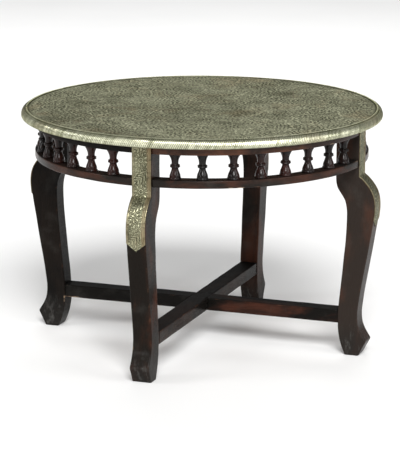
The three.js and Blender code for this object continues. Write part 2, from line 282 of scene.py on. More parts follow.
TOP_BRASS = brass(
    "brass_top", high=(0.4, 0.405, 0.295), low=(0.15, 0.152, 0.106), patina=(0.013, 0.0135, 0.0085),
    tarnish=(0.06, 0.06, 0.04), roughness=0.36, ground_stipple=700, mottle=0.75,
    glancing=(0.62, 0.62, 0.53),
)
BAND_BRASS = brass(
    "brass_band", high=(0.86, 0.86, 0.68), low=(0.42, 0.43, 0.28), patina=(0.07, 0.073, 0.038),
    tarnish=(0.32, 0.325, 0.22), roughness=0.28, ground_stipple=1500, glancing=(0.3, 0.3, 0.22),
)
STRIP_BRASS = brass(
    "brass_strip", high=(0.48, 0.475, 0.32), low=(0.175, 0.172, 0.104), patina=(0.018, 0.0175, 0.009),
    tarnish=(0.12, 0.115, 0.072), roughness=0.34, ground_stipple=900, mottle=0.6,
)
# One leg wood in lit and shaded copies. The right leg is painted lighter and greyer as painted light.
# The left leg is painted near-black and the front leg's deep tone darker as painted shade. The back leg
# keeps the plain wood.
LEG_WOODS_LIT_AND_SHADED = {
    "front": wood("wood_leg_front_painted_shade", upright=True, deep=(0.0095, 0.0075, 0.006),
                  warm=(0.05, 0.0185, 0.0105)),
    "right": wood("wood_leg_right_painted_light", upright=True, deep=(0.024, 0.018, 0.0148),
                  warm=(0.05, 0.0245, 0.0168)),
    "back": wood("wood_leg_back", upright=True),
    "left": wood("wood_leg_left_painted_shade", upright=True, deep=(0.005, 0.0045, 0.004),
                 warm=(0.011, 0.008, 0.0063)),
}
SPINDLE_WOOD = wood("wood_spindles", upright=True, deep=(0.0062, 0.0045, 0.004),
                    warm=(0.025, 0.0075, 0.0055), gloss=0.42)
# The x bar's -X end is painted black as shade.
BAR_X_WOOD = wood("wood_bar_x", deep=(0.0058, 0.0052, 0.0045), warm=(0.055, 0.02, 0.0125),
                  painted_shade_below_x=-0.04, painted_shade_top=STRETCHER_TOP)
BAR_Y_WOOD = wood("wood_bar_y", turn=QUARTER, deep=(0.0072, 0.0062, 0.0053),
                  warm=(0.022, 0.0115, 0.008), painted_shade_top=STRETCHER_TOP)
# The rail woods are painted near-black as shade from the lower rails' top up, so the upper rails that
# share them are painted dark all over.
RAIL_RISING_WOOD = wood("wood_rail_rising", turn=QUARTER / 2, warm=(0.046, 0.0185, 0.0115),
                        gloss=0.09, painted_shade_top=LOWER_RAIL_TOP)
RAIL_FALLING_WOOD = wood("wood_rail_falling", turn=-QUARTER / 2, warm=(0.046, 0.0185, 0.0115),
                         gloss=0.09, painted_shade_top=LOWER_RAIL_TOP)
# Painted glint: a lighter, warmer copy of the rail wood for the front-right upper rail, standing in for
# the orange light it catches.
RAIL_PAINTED_GLINT_WOOD = wood("wood_rail_painted_glint", turn=QUARTER / 2, deep=(0.024, 0.012, 0.008),
                        warm=(0.13, 0.05, 0.026), gloss=0.25)
BOARD_WOOD = bare_board("wood_board")
SCREW_STEEL = steel("steel_screws")


# ---------------------------------------------------------------- mesh helpers

def piece(name, points, faces, material, slot, nodes, **attributes):
    """A new object from points in millimetres. It rides on the table and replaces CAD nodes."""
    mesh = bpy.data.meshes.new(name)
    mesh.from_pydata((np.asarray(points, float) * MM).tolist(), [], faces)
    for key, values in attributes.items():
        layer = mesh.attributes.new(key, "FLOAT", "POINT")
        layer.data.foreach_set("value", np.asarray(values, np.float32))
    mesh.polygons.foreach_set("use_smooth", np.ones(len(mesh.polygons), bool))
    mesh.materials.append(material)
    mesh.update()
    thing = bpy.data.objects.new(name, mesh)
    bpy.context.scene.collection.objects.link(thing)
    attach(thing, "root")
    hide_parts(*nodes)
    return thing


def grid_faces(rows, columns, wrap_rows=False, wrap_columns=False, start=0):
    """Quads of a grid of points stored row by row."""
    i = np.arange(rows if wrap_rows else rows - 1)
    j = np.arange(columns if wrap_columns else columns - 1)
    i, j = np.meshgrid(i, j, indexing="ij")
    down = (i + 1) % rows
    right = (j + 1) % columns
    quads = np.stack(
        [i * columns + j, i * columns + right, down * columns + right, down * columns + j],
        axis=-1,
    )
    return (quads.reshape(-1, 4) + start).tolist()


def turned_about_z(points, angle):
    c, s = math.cos(angle), math.sin(angle)
    p = np.asarray(points, float)
    return np.stack([p[..., 0] * c - p[..., 1] * s, p[..., 0] * s + p[..., 1] * c, p[..., 2]], -1)


def smooth_line(points, step):
    """A Catmull-Rom curve through points, with samples about step apart."""
    p = np.asarray(points, float)
    padded = np.vstack([p[0], p, p[-1]])
    out = []
    for k in range(len(p) - 1):
        a, b, c, d = padded[k : k + 4]
        count = max(1, round(float(np.linalg.norm(c[:2] - b[:2])) / step))
        for t in np.arange(count) / count:
            v0, v1 = (c - a) / 2, (d - b) / 2
            out.append(
                (2 * b - 2 * c + v0 + v1) * t**3 + (-3 * b + 3 * c - 2 * v0 - v1) * t**2 + v0 * t + b
            )
    out.append(p[-1])
    return np.array(out)


def lathe(profile, segments, centre=(0, 0)):
    """The points of a profile of (radius, z) turned about a vertical axis."""
    profile = np.asarray(profile, float)
    angle = np.arange(segments) * 2 * math.pi / segments
    r = profile[:, 0][None, :]
    x = r * np.cos(angle)[:, None] + centre[0]
    y = r * np.sin(angle)[:, None] + centre[1]
    z = np.broadcast_to(profile[:, 1], x.shape)
    return np.stack([x, y, z], -1).reshape(-1, 3)


def uneven(points, size, height, seed):
    """Small smooth displacements that make a surface look hand-worked."""
    offset = Vector((seed * 3.7, seed * 1.3, seed * 2.1))
    moved = [
        np.array(noise.noise_vector(Vector(p) / size + offset)) * height for p in points
    ]
    return np.asarray(points) + np.array(moved)


# ---------------------------------------------------------------- embossed pattern

def softened(grid, passes):
    for _ in range(passes):
        for axis in (0, 1):
            grid = (np.roll(grid, 1, axis) + 2 * grid + np.roll(grid, -1, axis)) / 4
    return grid


class Relief:
    """A height map of punched ornament: 0 is the ground, 1 the highest metal."""

    def __init__(self, low, high, step, seed):
        self.low = np.array(low, float)
        self.step = step
        size = np.ceil((np.array(high) - self.low) / step).astype(int) + 1
        self.grid = np.zeros((size[1], size[0]))
        self.random = np.random.default_rng(seed)

    def window(self, x, y, reach):
        """The map's cells near a point, and their places relative to it."""
        i0, j0 = ((np.array([x, y]) - reach - self.low) / self.step).astype(int)
        i1, j1 = ((np.array([x, y]) + reach - self.low) / self.step).astype(int) + 2
        i0, j0 = max(i0, 0), max(j0, 0)
        part = self.grid[j0 : max(j1, 0), i0 : max(i1, 0)]
        rows, columns = part.shape
        across = (np.arange(columns) + i0) * self.step + self.low[0] - x
        up = (np.arange(rows) + j0) * self.step + self.low[1] - y
        return part, across[None, :], up[:, None]

    def raise_to(self, part, height):
        np.maximum(part, height, out=part)

    def dome(self, x, y, radius, lift=1.0):
        part, u, v = self.window(x, y, radius)
        self.raise_to(part, lift * np.sqrt(np.clip(1 - (u * u + v * v) / radius**2, 0, 1)))

    def ring(self, x, y, radius, width, lift=1.0):
        part, u, v = self.window(x, y, radius + width)
        off = (np.hypot(u, v) - radius) / (width / 2)
        self.raise_to(part, lift * np.sqrt(np.clip(1 - off * off, 0, 1)))

    def leaf(self, x, y, angle, length, width, lift=1.0, crease=0.3):
        """A pointed leaf from its stem end at x, y, with a groove along its middle."""
        part, u, v = self.window(x, y, length)
        along = (u * math.cos(angle) + v * math.sin(angle)) / length
        across = -u * math.sin(angle) + v * math.cos(angle)
        inside = np.clip(along * (1 - along), 0, None) * 4
        half = width / 2 * inside**0.7 + 1e-6
        shape = np.sqrt(np.clip(1 - (across / half) ** 2, 0, 1)) * np.minimum(1, inside * 2.2)
        groove = crease * np.exp(-((across / (0.16 * width)) ** 2))
        self.raise_to(part, lift * np.where(inside > 0, shape * (1 - groove), 0))

    def petal(self, x, y, angle, length, width, lift=1.0):
        """A plump teardrop centred at x, y, its narrow end pointing back along angle."""
        part, u, v = self.window(x, y, length)
        along = (u * math.cos(angle) + v * math.sin(angle)) / (length / 2)
        across = (-u * math.sin(angle) + v * math.cos(angle)) / (width / 2)
        taper = 0.78 + 0.3 * along
        level = 1 - along**2 - (across / np.clip(taper, 0.2, None)) ** 2
        self.raise_to(part, lift * np.sqrt(np.clip(level, 0, 1)))

    def curl(self, x, y, angle, radius, turns, width, lift=0.85):
        """A tapering spiral stroke that winds in to x, y."""
        steps = max(8, int(turns * 22))
        for k in range(steps):
            t = k / (steps - 1)
            r = radius * (1 - t) ** 0.8 + width * 0.35
            a = angle + turns * 2 * math.pi * t
            size = width / 2 * (0.75 + 0.5 * math.sin(math.pi * min(1, 1.15 * t)))
            self.dome(x + r * math.cos(a), y + r * math.sin(a), size, lift)

    def flower(self, x, y, turn, size=1.0):
        """Eight separate petals round a ring with a sunk eye."""
        self.ring(x, y, 3.4 * size, 1.5 * size)
        self.dome(x, y, 1.0 * size, 0.55)
        for k in range(8):
            a = turn + k * QUARTER / 2
            out = 9.2 * size
            self.petal(x + out * math.cos(a), y + out * math.sin(a), a, 6.0 * size, 4.3 * size)

    def spray(self, x, y, angle, size=1.0, pairs=4, bend=0.35):
        """A bent stem with narrow separate leaves on both sides, centred at x, y."""
        length = (6 + 4.6 * pairs) * size
        heading = angle - bend
        place = np.array([x, y]) - length / 2 * np.array([math.cos(angle), math.sin(angle)])
        steps = 6 * (pairs + 1)
        for k in range(steps):
            if k % 6 == 1:
                reach = (9.4 - 4.2 * k / steps) * size
                for side in (-1, 1):
                    self.leaf(*place, heading + side * 0.66, reach, 2.5 * size, 1.0, 0.2)
            self.dome(*place, 0.55 * size + 0.15, 0.62)
            heading += 2 * bend / steps
            place = place + length / steps * np.array([math.cos(heading), math.sin(heading)])
        self.leaf(*place, heading, 5.6 * size, 2.7 * size, 1.0, 0.2)

    def vine(self, x, y, angle, length, swing, width):
        """A winding stem with leaves to left and right, curled in at its end."""
        heading = angle
        place = np.array([x, y], float)
        pace = 0.7
        steps = int(length / pace)
        side = 1
        for k in range(steps):
            heading += swing * math.cos(3.2 * math.pi * k / steps) * pace
            place = place + pace * np.array([math.cos(heading), math.sin(heading)])
            self.dome(*place, width / 2, 0.8)
            if k % 8 == 5:
                self.leaf(*place, heading + side * 0.85, self.random.uniform(4.6, 6.4), 2.5, 1.0, 0.2)
                side = -side
        self.curl(place[0] + 3 * math.cos(heading + side), place[1] + 3 * math.sin(heading + side),
                  heading + side + math.pi, 3.0, side * 1.1, width)

    def fill(self, tries, room, draw):
        """Draws motifs at random places where the ground is still bare."""
        rows, columns = self.grid.shape
        reach = max(1, int(room / self.step))
        for _ in range(tries):
            j, i = self.random.integers(reach, [rows - reach, columns - reach])
            if self.grid[j - reach : j + reach + 1, i - reach : i + reach + 1].max() <= 0:
                draw(i * self.step + self.low[0], j * self.step + self.low[1])

    def soften(self, passes):
        self.grid = softened(self.grid, passes)

    def wear(self, passes, strength):
        """A map of rubbing: 0 in a crevice beside raised metal, 0.5 on open flats, 1 on a crest."""
        worn = copy.copy(self)
        worn.grid = np.clip(0.5 + strength * (self.grid - softened(self.grid, passes)), 0, 1)
        return worn

    def at(self, x, y):
        u = np.clip((np.asarray(x) - self.low[0]) / self.step, 0, self.grid.shape[1] - 1.001)
        v = np.clip((np.asarray(y) - self.low[1]) / self.step, 0, self.grid.shape[0] - 1.001)
        i, j = u.astype(int), v.astype(int)
        a, b = u - i, v - j
        g = self.grid
        return (
            g[j, i] * (1 - a) * (1 - b)
            + g[j, i + 1] * a * (1 - b)
            + g[j + 1, i] * (1 - a) * b
            + g[j + 1, i + 1] * a * b
        )


# ---------------------------------------------------------------- the top

def top_pattern():
    """An all-over field of flowers, winding vines, sprays and curls, densely filled between."""
    reach = 298
    relief = Relief((-reach, -reach), (reach, reach), 0.5, seed=41)
    random = relief.random

    def turn():
        return random.uniform(0, 2 * math.pi)

    relief.fill(2600, 15, lambda x, y: relief.flower(x, y, turn(), random.uniform(0.95, 1.15)))
    relief.fill(2600, 9, lambda x, y: relief.vine(
        x, y, turn(), random.uniform(24, 46), random.uniform(0.09, 0.15), 2.0))
    relief.fill(6000, 6, lambda x, y: relief.spray(x, y, turn(), random.uniform(0.62, 0.8), 3, 0.5))
    relief.fill(9000, 4, lambda x, y: relief.curl(
        x, y, turn(), 3.4, random.choice([-1, 1]) * 1.1, 1.9))
    relief.fill(16000, 2.5, lambda x, y: relief.leaf(
        x, y, turn(), random.uniform(4.2, 6.2), 2.9, 0.9))
    relief.fill(16000, 1.6, lambda x, y: relief.dome(x, y, 1.15, 0.6))
    relief.soften(2)
    return relief


def embossed_top():
    """The top sheet: a fine square grid of points, its ragged rim hidden under the rim bead."""
    relief = top_pattern()
    rim, groove_radius = 295.2, 290.8
    step, depth = 1.35, 0.62
    count = int(rim / step)
    line = np.arange(-count, count + 1) * step
    x, y = np.meshgrid(line, line)
    radius = np.hypot(x, y)
    cell_far = np.maximum.reduce([radius[:-1, :-1], radius[1:, :-1], radius[:-1, 1:], radius[1:, 1:]])
    cell = cell_far < rim
    used = np.zeros(radius.shape, bool)
    for di in (0, 1):
        for dj in (0, 1):
            used[di : di + cell.shape[0], dj : dj + cell.shape[1]] |= cell
    number = np.full(radius.shape, -1)
    number[used] = np.arange(used.sum())
    px, py, pr = x[used], y[used], radius[used]
    height = relief.at(px, py)
    fade = np.clip((groove_radius - pr) / 2.5, 0, 1)
    groove = np.clip((pr - groove_radius) / 1.2, 0, 1)
    level = height * fade
    worn = 0.5 + (relief.wear(20, 2.8).at(px, py) - 0.5) * fade - 0.3 * groove
    dents = np.array([noise.noise(Vector((a / 70, b / 70, 4.2))) for a, b in zip(px, py)]) * 0.22
    z = SHEET_TOP_Z - 0.22 - 0.2 * groove + depth * level + dents * fade
    ci, cj = np.nonzero(cell)
    faces = np.stack(
        [number[ci, cj], number[ci, cj + 1], number[ci + 1, cj + 1], number[ci + 1, cj]], -1
    )
    points = np.stack([px, py, z], -1)
    rim_loop = boundary_loop(faces)
    under = points[rim_loop].copy()
    under[:, 2] = SHEET_TOP_Z - 1.0
    first = len(points)
    n = len(rim_loop)
    wall = [
        [rim_loop[(k + 1) % n], rim_loop[k], first + k, first + (k + 1) % n] for k in range(n)
    ]
    bottom = [[first + k for k in reversed(range(n))]]
    points = np.vstack([points, under])
    level = np.concatenate([level, np.zeros(n)])
    worn = np.concatenate([worn, np.full(n, 0.5)])
    sheet = piece("top_sheet_embossed", points, faces.tolist() + wall + bottom, TOP_BRASS, "brass",
                  ["brass_top_sheet"], relief=level, worn=worn)
    sheet.data.polygons[len(sheet.data.polygons) - 1].use_smooth = False
    return sheet


def boundary_loop(faces):
    """The outer boundary of a grid of faces, as point numbers in the faces' direction."""
    edges = np.concatenate([faces[:, [k, (k + 1) % 4]] for k in range(4)])
    size = int(faces.max()) + 1
    forward = edges[:, 0].astype(np.int64) * size + edges[:, 1]
    backward = edges[:, 1].astype(np.int64) * size + edges[:, 0]
    lone = edges[~np.isin(forward, backward)]
    following = dict(lone.tolist())
    start = lone[0, 0]
    loop = [int(start)]
    while following[loop[-1]] != start:
        loop.append(int(following[loop[-1]]))
    return loop


FLUTES = 580
FLUTE_SEGMENTS = 6
FLUTE_DEPTH = 0.5
FLUTE_LEAN = 0.46 / 305  # radians round the rim for each millimetre down the bulge


def edge_band():
    """The brass edge: rim bead, groove, roped bulge and a lip turned under the board."""
    bead = [(293.9, 405.4), (294.2, 406.1), (294.9, 406.7), (295.8, 407.0), (296.7, 406.8),
            (297.4, 406.2), (298.0, 405.6)]
    bulge = smooth_line(
        [(298.6, 405.3), (300.9, 404.2), (302.9, 402.2), (304.2, 399.4), (304.9, 396.5),
         (304.8, 394.0), (303.8, 392.0), (302.0, 390.9)], 1.15)
    lip = [(299.5, 390.5), (293.2, 390.45)]
    inner = [(293.2, 391.1), (300.2, 391.25), (303.5, 394.2), (303.2, 398.2), (300.8, 402.2),
             (297.6, 404.6), (295.4, 405.2), (294.4, 405.2)]
    profile = np.vstack([bead, bulge, lip, inner])
    segments = FLUTES * FLUTE_SEGMENTS
    points = lathe(profile, segments).reshape(segments, len(profile), 3)
    first, last = len(bead), len(bead) + len(bulge)
    run = np.concatenate([[0], np.cumsum(np.linalg.norm(np.diff(bulge, axis=0), axis=1))])
    tangent = np.gradient(bulge, axis=0)
    tangent /= np.linalg.norm(tangent, axis=1)[:, None]
    out = np.stack([-tangent[:, 1], tangent[:, 0]], -1)
    board_side = [295, 398]
    out *= np.sign((out * (bulge - board_side)).sum(1))[:, None]
    angle = np.arange(segments) * 2 * math.pi / segments
    wander = np.array([noise.noise(Vector((math.cos(a) * 6, math.sin(a) * 6, 1.7))) for a in angle])
    phase = FLUTES * (angle[:, None] + FLUTE_LEAN * run[None, :] + 0.0016 * wander[:, None])
    blows = np.random.default_rng(23).normal(0, 0.27, FLUTES)
    place = phase / (2 * math.pi) % FLUTES
    strike = np.interp(place, np.arange(FLUTES + 1), np.append(blows, blows[0]))
    wave = 0.5 + 0.5 * np.cos(phase)
    ends = np.clip(np.minimum(run, run[-1] - run) / 1.6, 0, 1)
    depth = FLUTE_DEPTH * (1 + np.clip(strike, -0.6, 0.6)) * ends[None, :]
    shift = -(1 - wave) * depth
    radial = np.stack([np.cos(angle), np.sin(angle)], -1)
    points[:, first:last, :2] += (shift * out[None, :, 0])[..., None] * radial[:, None, :]
    points[:, first:last, 2] += shift * out[None, :, 1]
    level = np.full((segments, len(profile)), 0.5)
    level[:, : len(bead)] = [0.05, 0.3, 0.6, 0.75, 0.8, 0.6, 0.1]
    level[:, first:last] = 0.62 + (0.75 * wave + 0.4 * strike - 0.42) * ends[None, :]
    level[:, first] = 0.05
    waver = np.array([noise.noise(Vector((math.cos(a) * 2.5, math.sin(a) * 2.5, 9.3))) for a in angle])
    points[:, : last + 2, 2] += 0.28 * waver[:, None] - 0.05
    faces = grid_faces(segments, len(profile), wrap_rows=True, wrap_columns=True)
    faces = [face[::-1] for face in faces]
    piece("edge_band_roped", points.reshape(-1, 3), faces, BAND_BRASS, "brass",
          ["brass_edge_band"], relief=np.ones(level.size), worn=level.reshape(-1))


# ---------------------------------------------------------------- legs

LEG_PAIRS = [  # outer radius, height, inner radius, height, from the board down to the knee's corner
    (282, LEG_TOP_Z, 242, LEG_TOP_Z), (282, 360, 242, 358), (282, 333, 242, 330),
    (282, 316, 242, 312), (282, 307, 242, 304),
]
KNEE_PAIRS = [
    (282, 307, 242, 304), (287.6, 303.2, 242.4, 296.5), (296, 294.6, 245, 286.6),
    (304, 283, 251.4, 276.5), (308.3, 271, 257.9, 265.8), (309.8, 257, 261.2, 252),
    (309, 243, 262.1, 239), (306.2, 222, 261.6, 221), (301, 191, 259.6, 191),
    (295.6, 159, 256.7, 159), (289.6, 126, 253.8, 126), (285, 96, 250.6, 97),
    (282.4, 72, 249, 76), (283.6, 54, 248.8, 57), (288.4, 41, 249.2, 43.5),
    (297.4, 26.4, 251.6, 28),
]
FOOT_PAIRS = [(297.4, 26.4, 251.6, 28), (297.6, 24.2, 252.2, 25), (291.4, 12.4, 255.9, 13),
              (285.8, 1.2, 260.9, 1.2)]


LEG_CORNER = 1.7
STRIP_LOW_Z = 222  # where a leg's strip ends in a point
STRIP_POINT_LENGTH = 13.2
STRIP_SHIFTS = [4.0, 15.0, 31.0, 0.0]  # how far the pattern is moved along each leg's strip


def rounded_ring(half_a, half_b, corner, along_a, along_b):
    """A rounded rectangle's points as (a, b), and how near each is to a rounded edge. Its sides along
    a and b have along_a and along_b points besides the two close to the corners."""
    ring, edge = [], []
    arc = [0, 30, 60, 90]
    corners = [(1, -1, -90), (1, 1, 0), (-1, 1, 90), (-1, -1, 180)]
    for k, (sa, sb, begin) in enumerate(corners):
        ca, cb = sa * (half_a - corner), sb * (half_b - corner)
        for degrees in arc:
            t = math.radians(begin + degrees)
            ring.append((ca + corner * math.cos(t), cb + corner * math.sin(t)))
            edge.append(1.0)
        na, nb, _ = corners[(k + 1) % 4]
        end = np.array([na * (half_a - corner) + corner * math.cos(math.radians(begin + 90)),
                        nb * (half_b - corner) + corner * math.sin(math.radians(begin + 90))])
        start = np.array(ring[-1])
        length = np.linalg.norm(end - start)
        inner = along_b if k % 2 == 0 else along_a
        near = 2.4 / length
        for t in [near, *np.linspace(near, 1 - near, inner + 2)[1:-1], 1 - near]:
            ring.append(tuple(start + t * (end - start)))
            edge.append(0.35 if t in (near, 1 - near) else 0.0)
    return np.array(ring), np.array(edge)


def capped(rings, count):
    """Faces for rings of count points joined in a tube, with a flat cap on each end."""
    faces = grid_faces(rings, count, wrap_columns=True)
    faces.append(list(range(count))[::-1])
    faces.append([(rings - 1) * count + k for k in range(count)])
    return faces


def leg(side, quarter):
    """A cabriole leg: rounded rectangles between its outer and inner lines, from board to sole."""
    stations = np.vstack([
        smooth_line(LEG_PAIRS, 7)[:-1],
        smooth_line(KNEE_PAIRS, 3.4)[:-1],
        smooth_line(FOOT_PAIRS, 3),
        [(285.0, 0.25, 261.8, 0.25)],
        [(283.8, 0.0, 263.1, 0.0)],
    ])
    rings, near = [], []
    for k, (ro, zo, ri, zi) in enumerate(stations):
        middle = np.array([(ro + ri) / 2, (zo + zi) / 2])
        span = np.array([ro - ri, zo - zi])
        half = np.linalg.norm(span) / 2
        span = span / (2 * half)
        sole_inset = 1.4 if k == len(stations) - 1 else 0.0
        ring, edge = rounded_ring(half, LEG_HALF - sole_inset, LEG_CORNER, 6, 4)
        points = np.zeros((len(ring), 3))
        points[:, 0] = middle[0] + ring[:, 0] * span[0]
        points[:, 1] = ring[:, 1]
        points[:, 2] = middle[1] + ring[:, 0] * span[1]
        rings.append(points)
        near.append(np.maximum(edge, 0.9 if k >= len(stations) - 2 else 0))
    points = np.concatenate(rings)
    rough = uneven(points, 34, 0.42, quarter + 1)
    hold = np.clip((LEG_TOP_Z - points[:, 2]) / 25, 0, 1) * np.clip(points[:, 2] / 6, 0, 1)
    clad = (points[:, 0] > 280) & (points[:, 2] > STRIP_LOW_Z - 5)
    hold = np.where(clad, 0, hold)
    points = points + (rough - points) * hold[:, None]
    faces = capped(len(rings), len(edge))
    points = turned_about_z(points, quarter * QUARTER)
    piece(f"leg_wood_{side}", points, faces, LEG_WOODS_LIT_AND_SHADED[side], "wood", [f"leg_{side}"],
          edge=np.concatenate(near))


def strip_pattern(seed, shift, mirrored):
    """Flowers and slanting leaf sprays between plain borders, along a strip's length."""
    relief = Relief((-16.6, -4), (16.6, 190), 0.25, seed)
    random = relief.random
    centre = -0.7
    period = 51.5
    for k in range(-1, 5):
        v = 24 + shift + k * period
        relief.flower(centre, v, random.uniform(0, 0.3), 1.0)
        relief.spray(centre + 0.4, v + period / 2 + 0.5, 2.3, 1.34, 3, 0.25)
    relief.fill(900, 2.3, lambda x, y: relief.curl(
        x, y, random.uniform(0, 6.3), 1.5, random.choice([-1, 1]) * 0.8, 1.2, 0.7))
    relief.fill(2500, 1.5, lambda x, y: relief.leaf(
        x, y, random.uniform(0, 6.3), random.uniform(2.6, 4.0), 1.7, 0.75, 0.1))
    relief.fill(2500, 0.9, lambda x, y: relief.dome(x, y, 0.75, 0.5))
    g = relief.grid
    u = (np.arange(g.shape[1]) * relief.step + relief.low[0])[None, :]
    g *= np.where((u < -13.3) | (u > 12.0), 0, 1)
    plain = np.where((u < -13.7) | (u > 12.4), 0.62, 0)
    for line, wide in ((-13.7, 0.45), (12.5, 0.5), (15.4, 0.6), (-15.6, 0.5)):
        plain = np.maximum(plain, 0.95 * np.exp(-(((u - line) / wide) ** 2)))
    np.maximum(g, plain, out=g)
    if mirrored:
        relief.grid = g[:, ::-1].copy()
    relief.soften(2)
    return relief


def leg_strip(side, quarter):
    """The embossed strip bent over a leg's outer face, pointed at its lower end."""
    mirrored = quarter in (1, 2)
    relief = strip_pattern(quarter + 60, STRIP_SHIFTS[quarter], mirrored)
    outer = np.array([(r, z) for r, z, _, _ in LEG_PAIRS + KNEE_PAIRS[1:]])
    line = np.vstack([smooth_line(outer[:5], 0.5)[:-1], smooth_line(outer[4:], 0.5)])
    line = line[(line[:, 1] <= LEG_TOP_Z - GAP) & (line[:, 1] >= STRIP_LOW_Z)]
    for _ in range(36):
        line[1:-1] = (line[:-2] + 2 * line[1:-1] + line[2:]) / 4
    run = np.concatenate([[0], np.cumsum(np.linalg.norm(np.diff(line, axis=0), axis=1))])
    tangent = np.gradient(line, axis=0)
    tangent /= np.linalg.norm(tangent, axis=1)[:, None]
    out = np.stack([-tangent[:, 1], tangent[:, 0]], -1)
    columns = 69
    across = np.linspace(-1, 1, columns)
    point_from = run[-1] - STRIP_POINT_LENGTH
    taper = 1 - (run - point_from) / (STRIP_POINT_LENGTH - 1)
    half = np.maximum(np.where(run < point_from, LEG_HALF, LEG_HALF * taper), 0.35)
    u = half[:, None] * across[None, :]
    v = np.broadcast_to(run[:, None], u.shape)
    level = relief.at(u, v)
    worn = relief.wear(18, 1.9).at(u, v)
    near_end = np.clip((half[:, None] - np.abs(u)) / 1.2, 0, 1)
    tail = np.clip((run - point_from + 2) / 4, 0, 1)[:, None]
    level = level * (1 - tail * (1 - near_end)) + 0.55 * tail * (1 - near_end)
    lift = 0.35 + 0.85 * level
    border = (np.arange(columns) == 0) | (np.arange(columns) == columns - 1)
    lift = np.where(border[None, :], 0.5, lift)
    front = np.zeros(u.shape + (3,))
    front[..., 0] = line[:, 0][:, None] + (GAP + lift) * out[:, 0][:, None]
    front[..., 1] = u
    front[..., 2] = line[:, 1][:, None] + (GAP + lift) * out[:, 1][:, None]
    back = front[:, [0, -1], :].copy()
    back[..., 0] = (line[:, 0] + 0.1 * out[:, 0])[:, None]
    back[..., 2] = (line[:, 1] + 0.1 * out[:, 1])[:, None]
    rows = len(line)
    faces = grid_faces(rows, columns)
    base = rows * columns
    for i in range(rows - 1):
        a, b = i * columns, (i + 1) * columns
        la, lb = base + 2 * i, base + 2 * (i + 1)
        faces.append([a, b, lb, la])
        faces.append([b + columns - 1, a + columns - 1, la + 1, lb + 1])
        faces.append([la + 1, la, lb, lb + 1])
    faces.append([base, base + 1] + list(range(columns))[::-1])
    tail_row = (rows - 1) * columns
    faces.append([base + 2 * rows - 1, base + 2 * rows - 2] + [tail_row + k for k in range(columns)])
    points = np.vstack([front.reshape(-1, 3), back.reshape(-1, 3)])
    toward_rim = u * (-1 if mirrored else 1)
    bronze = np.clip((toward_rim - 8) / 3, 0, 1) + 0.5 * np.clip((-toward_rim - 11) / 2, 0, 1)
    bronze = np.concatenate([bronze.reshape(-1), np.full(2 * rows, 1.0)])
    level = np.concatenate([level.reshape(-1), np.full(2 * rows, 0.5)])
    worn = np.concatenate([worn.reshape(-1), np.full(2 * rows, 0.4)])
    faces = [face[::-1] for face in faces]
    points = turned_about_z(points, quarter * QUARTER)
    piece(f"leg_strip_{side}", points, faces, STRIP_BRASS, "brass", [f"leg_cladding_{side}"],
          relief=level, worn=worn, bronze=bronze)


# ---------------------------------------------------------------- gallery

RAIL_OUTER = 282.0
RAIL_INNER = 257.5


def rail(corner, quarter, level):
    """A quarter ring of wood from leg to leg."""
    low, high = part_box(f"{level}_rail_{corner}")
    z0, z1 = low[2] / MM, high[2] / MM
    ring, edge = rounded_ring((RAIL_OUTER - RAIL_INNER) / 2, (z1 - z0) / 2, 1.5, 5, 3)
    stations = 72
    clear = LEG_HALF + GAP * 0.4
    radius = (RAIL_OUTER + RAIL_INNER) / 2 + ring[:, 0]
    start = np.arcsin(clear / radius)
    t = np.linspace(0, 1, stations)[:, None]
    angle = start[None, :] + (math.pi / 2 - 2 * start)[None, :] * t
    points = np.stack([
        radius * np.cos(angle),
        radius * np.sin(angle),
        np.broadcast_to((z0 + z1) / 2 + ring[:, 1], angle.shape),
    ], -1).reshape(-1, 3)
    rough = uneven(points, 30, 0.3, quarter + (5 if level == "upper" else 9))
    points = rough if level == "lower" else np.column_stack([rough[:, :2], points[:, 2]])
    points = turned_about_z(points, quarter * QUARTER)
    faces = [face[::-1] for face in capped(stations, len(ring))]
    grain = RAIL_FALLING_WOOD if quarter % 2 == 0 else RAIL_RISING_WOOD
    # The front-right upper rail takes the painted glint wood.
    if (corner, level) == ("front_right", "upper"):
        grain = RAIL_PAINTED_GLINT_WOOD
    piece(f"{level}_ring_{corner}", points, faces, grain, "wood", [f"{level}_rail_{corner}"],
          edge=np.tile(edge, stations))


SPINDLE_SHAPE = [  # radius, height above the lower rail
    (9.7, 0.0), (10.1, 0.7), (10.2, 1.8), (9.8, 2.9), (9.0, 3.4), (9.4, 4.2), (9.3, 5.6), (8.7, 8.2),
    (7.5, 11.2), (6.3, 14.2), (5.6, 16.8), (5.5, 18.4), (6.1, 19.3), (7.7, 19.9), (8.4, 20.7),
    (8.2, 21.6), (7.2, 22.0), (8.0, 22.4), (8.4, 23.2), (7.7, 24.0), (6.3, 24.5), (5.9, 25.4),
    (5.8, 27.2), (6.0, 29.6), (6.5, 32.4), (7.5, 35.2), (8.9, 37.9), (9.8, 39.6), (10.0, 41.0),
]


SPINDLE_HEIGHT = 41
PEG_RADIUS = 3.4
SPINDLE_SIDES = 28


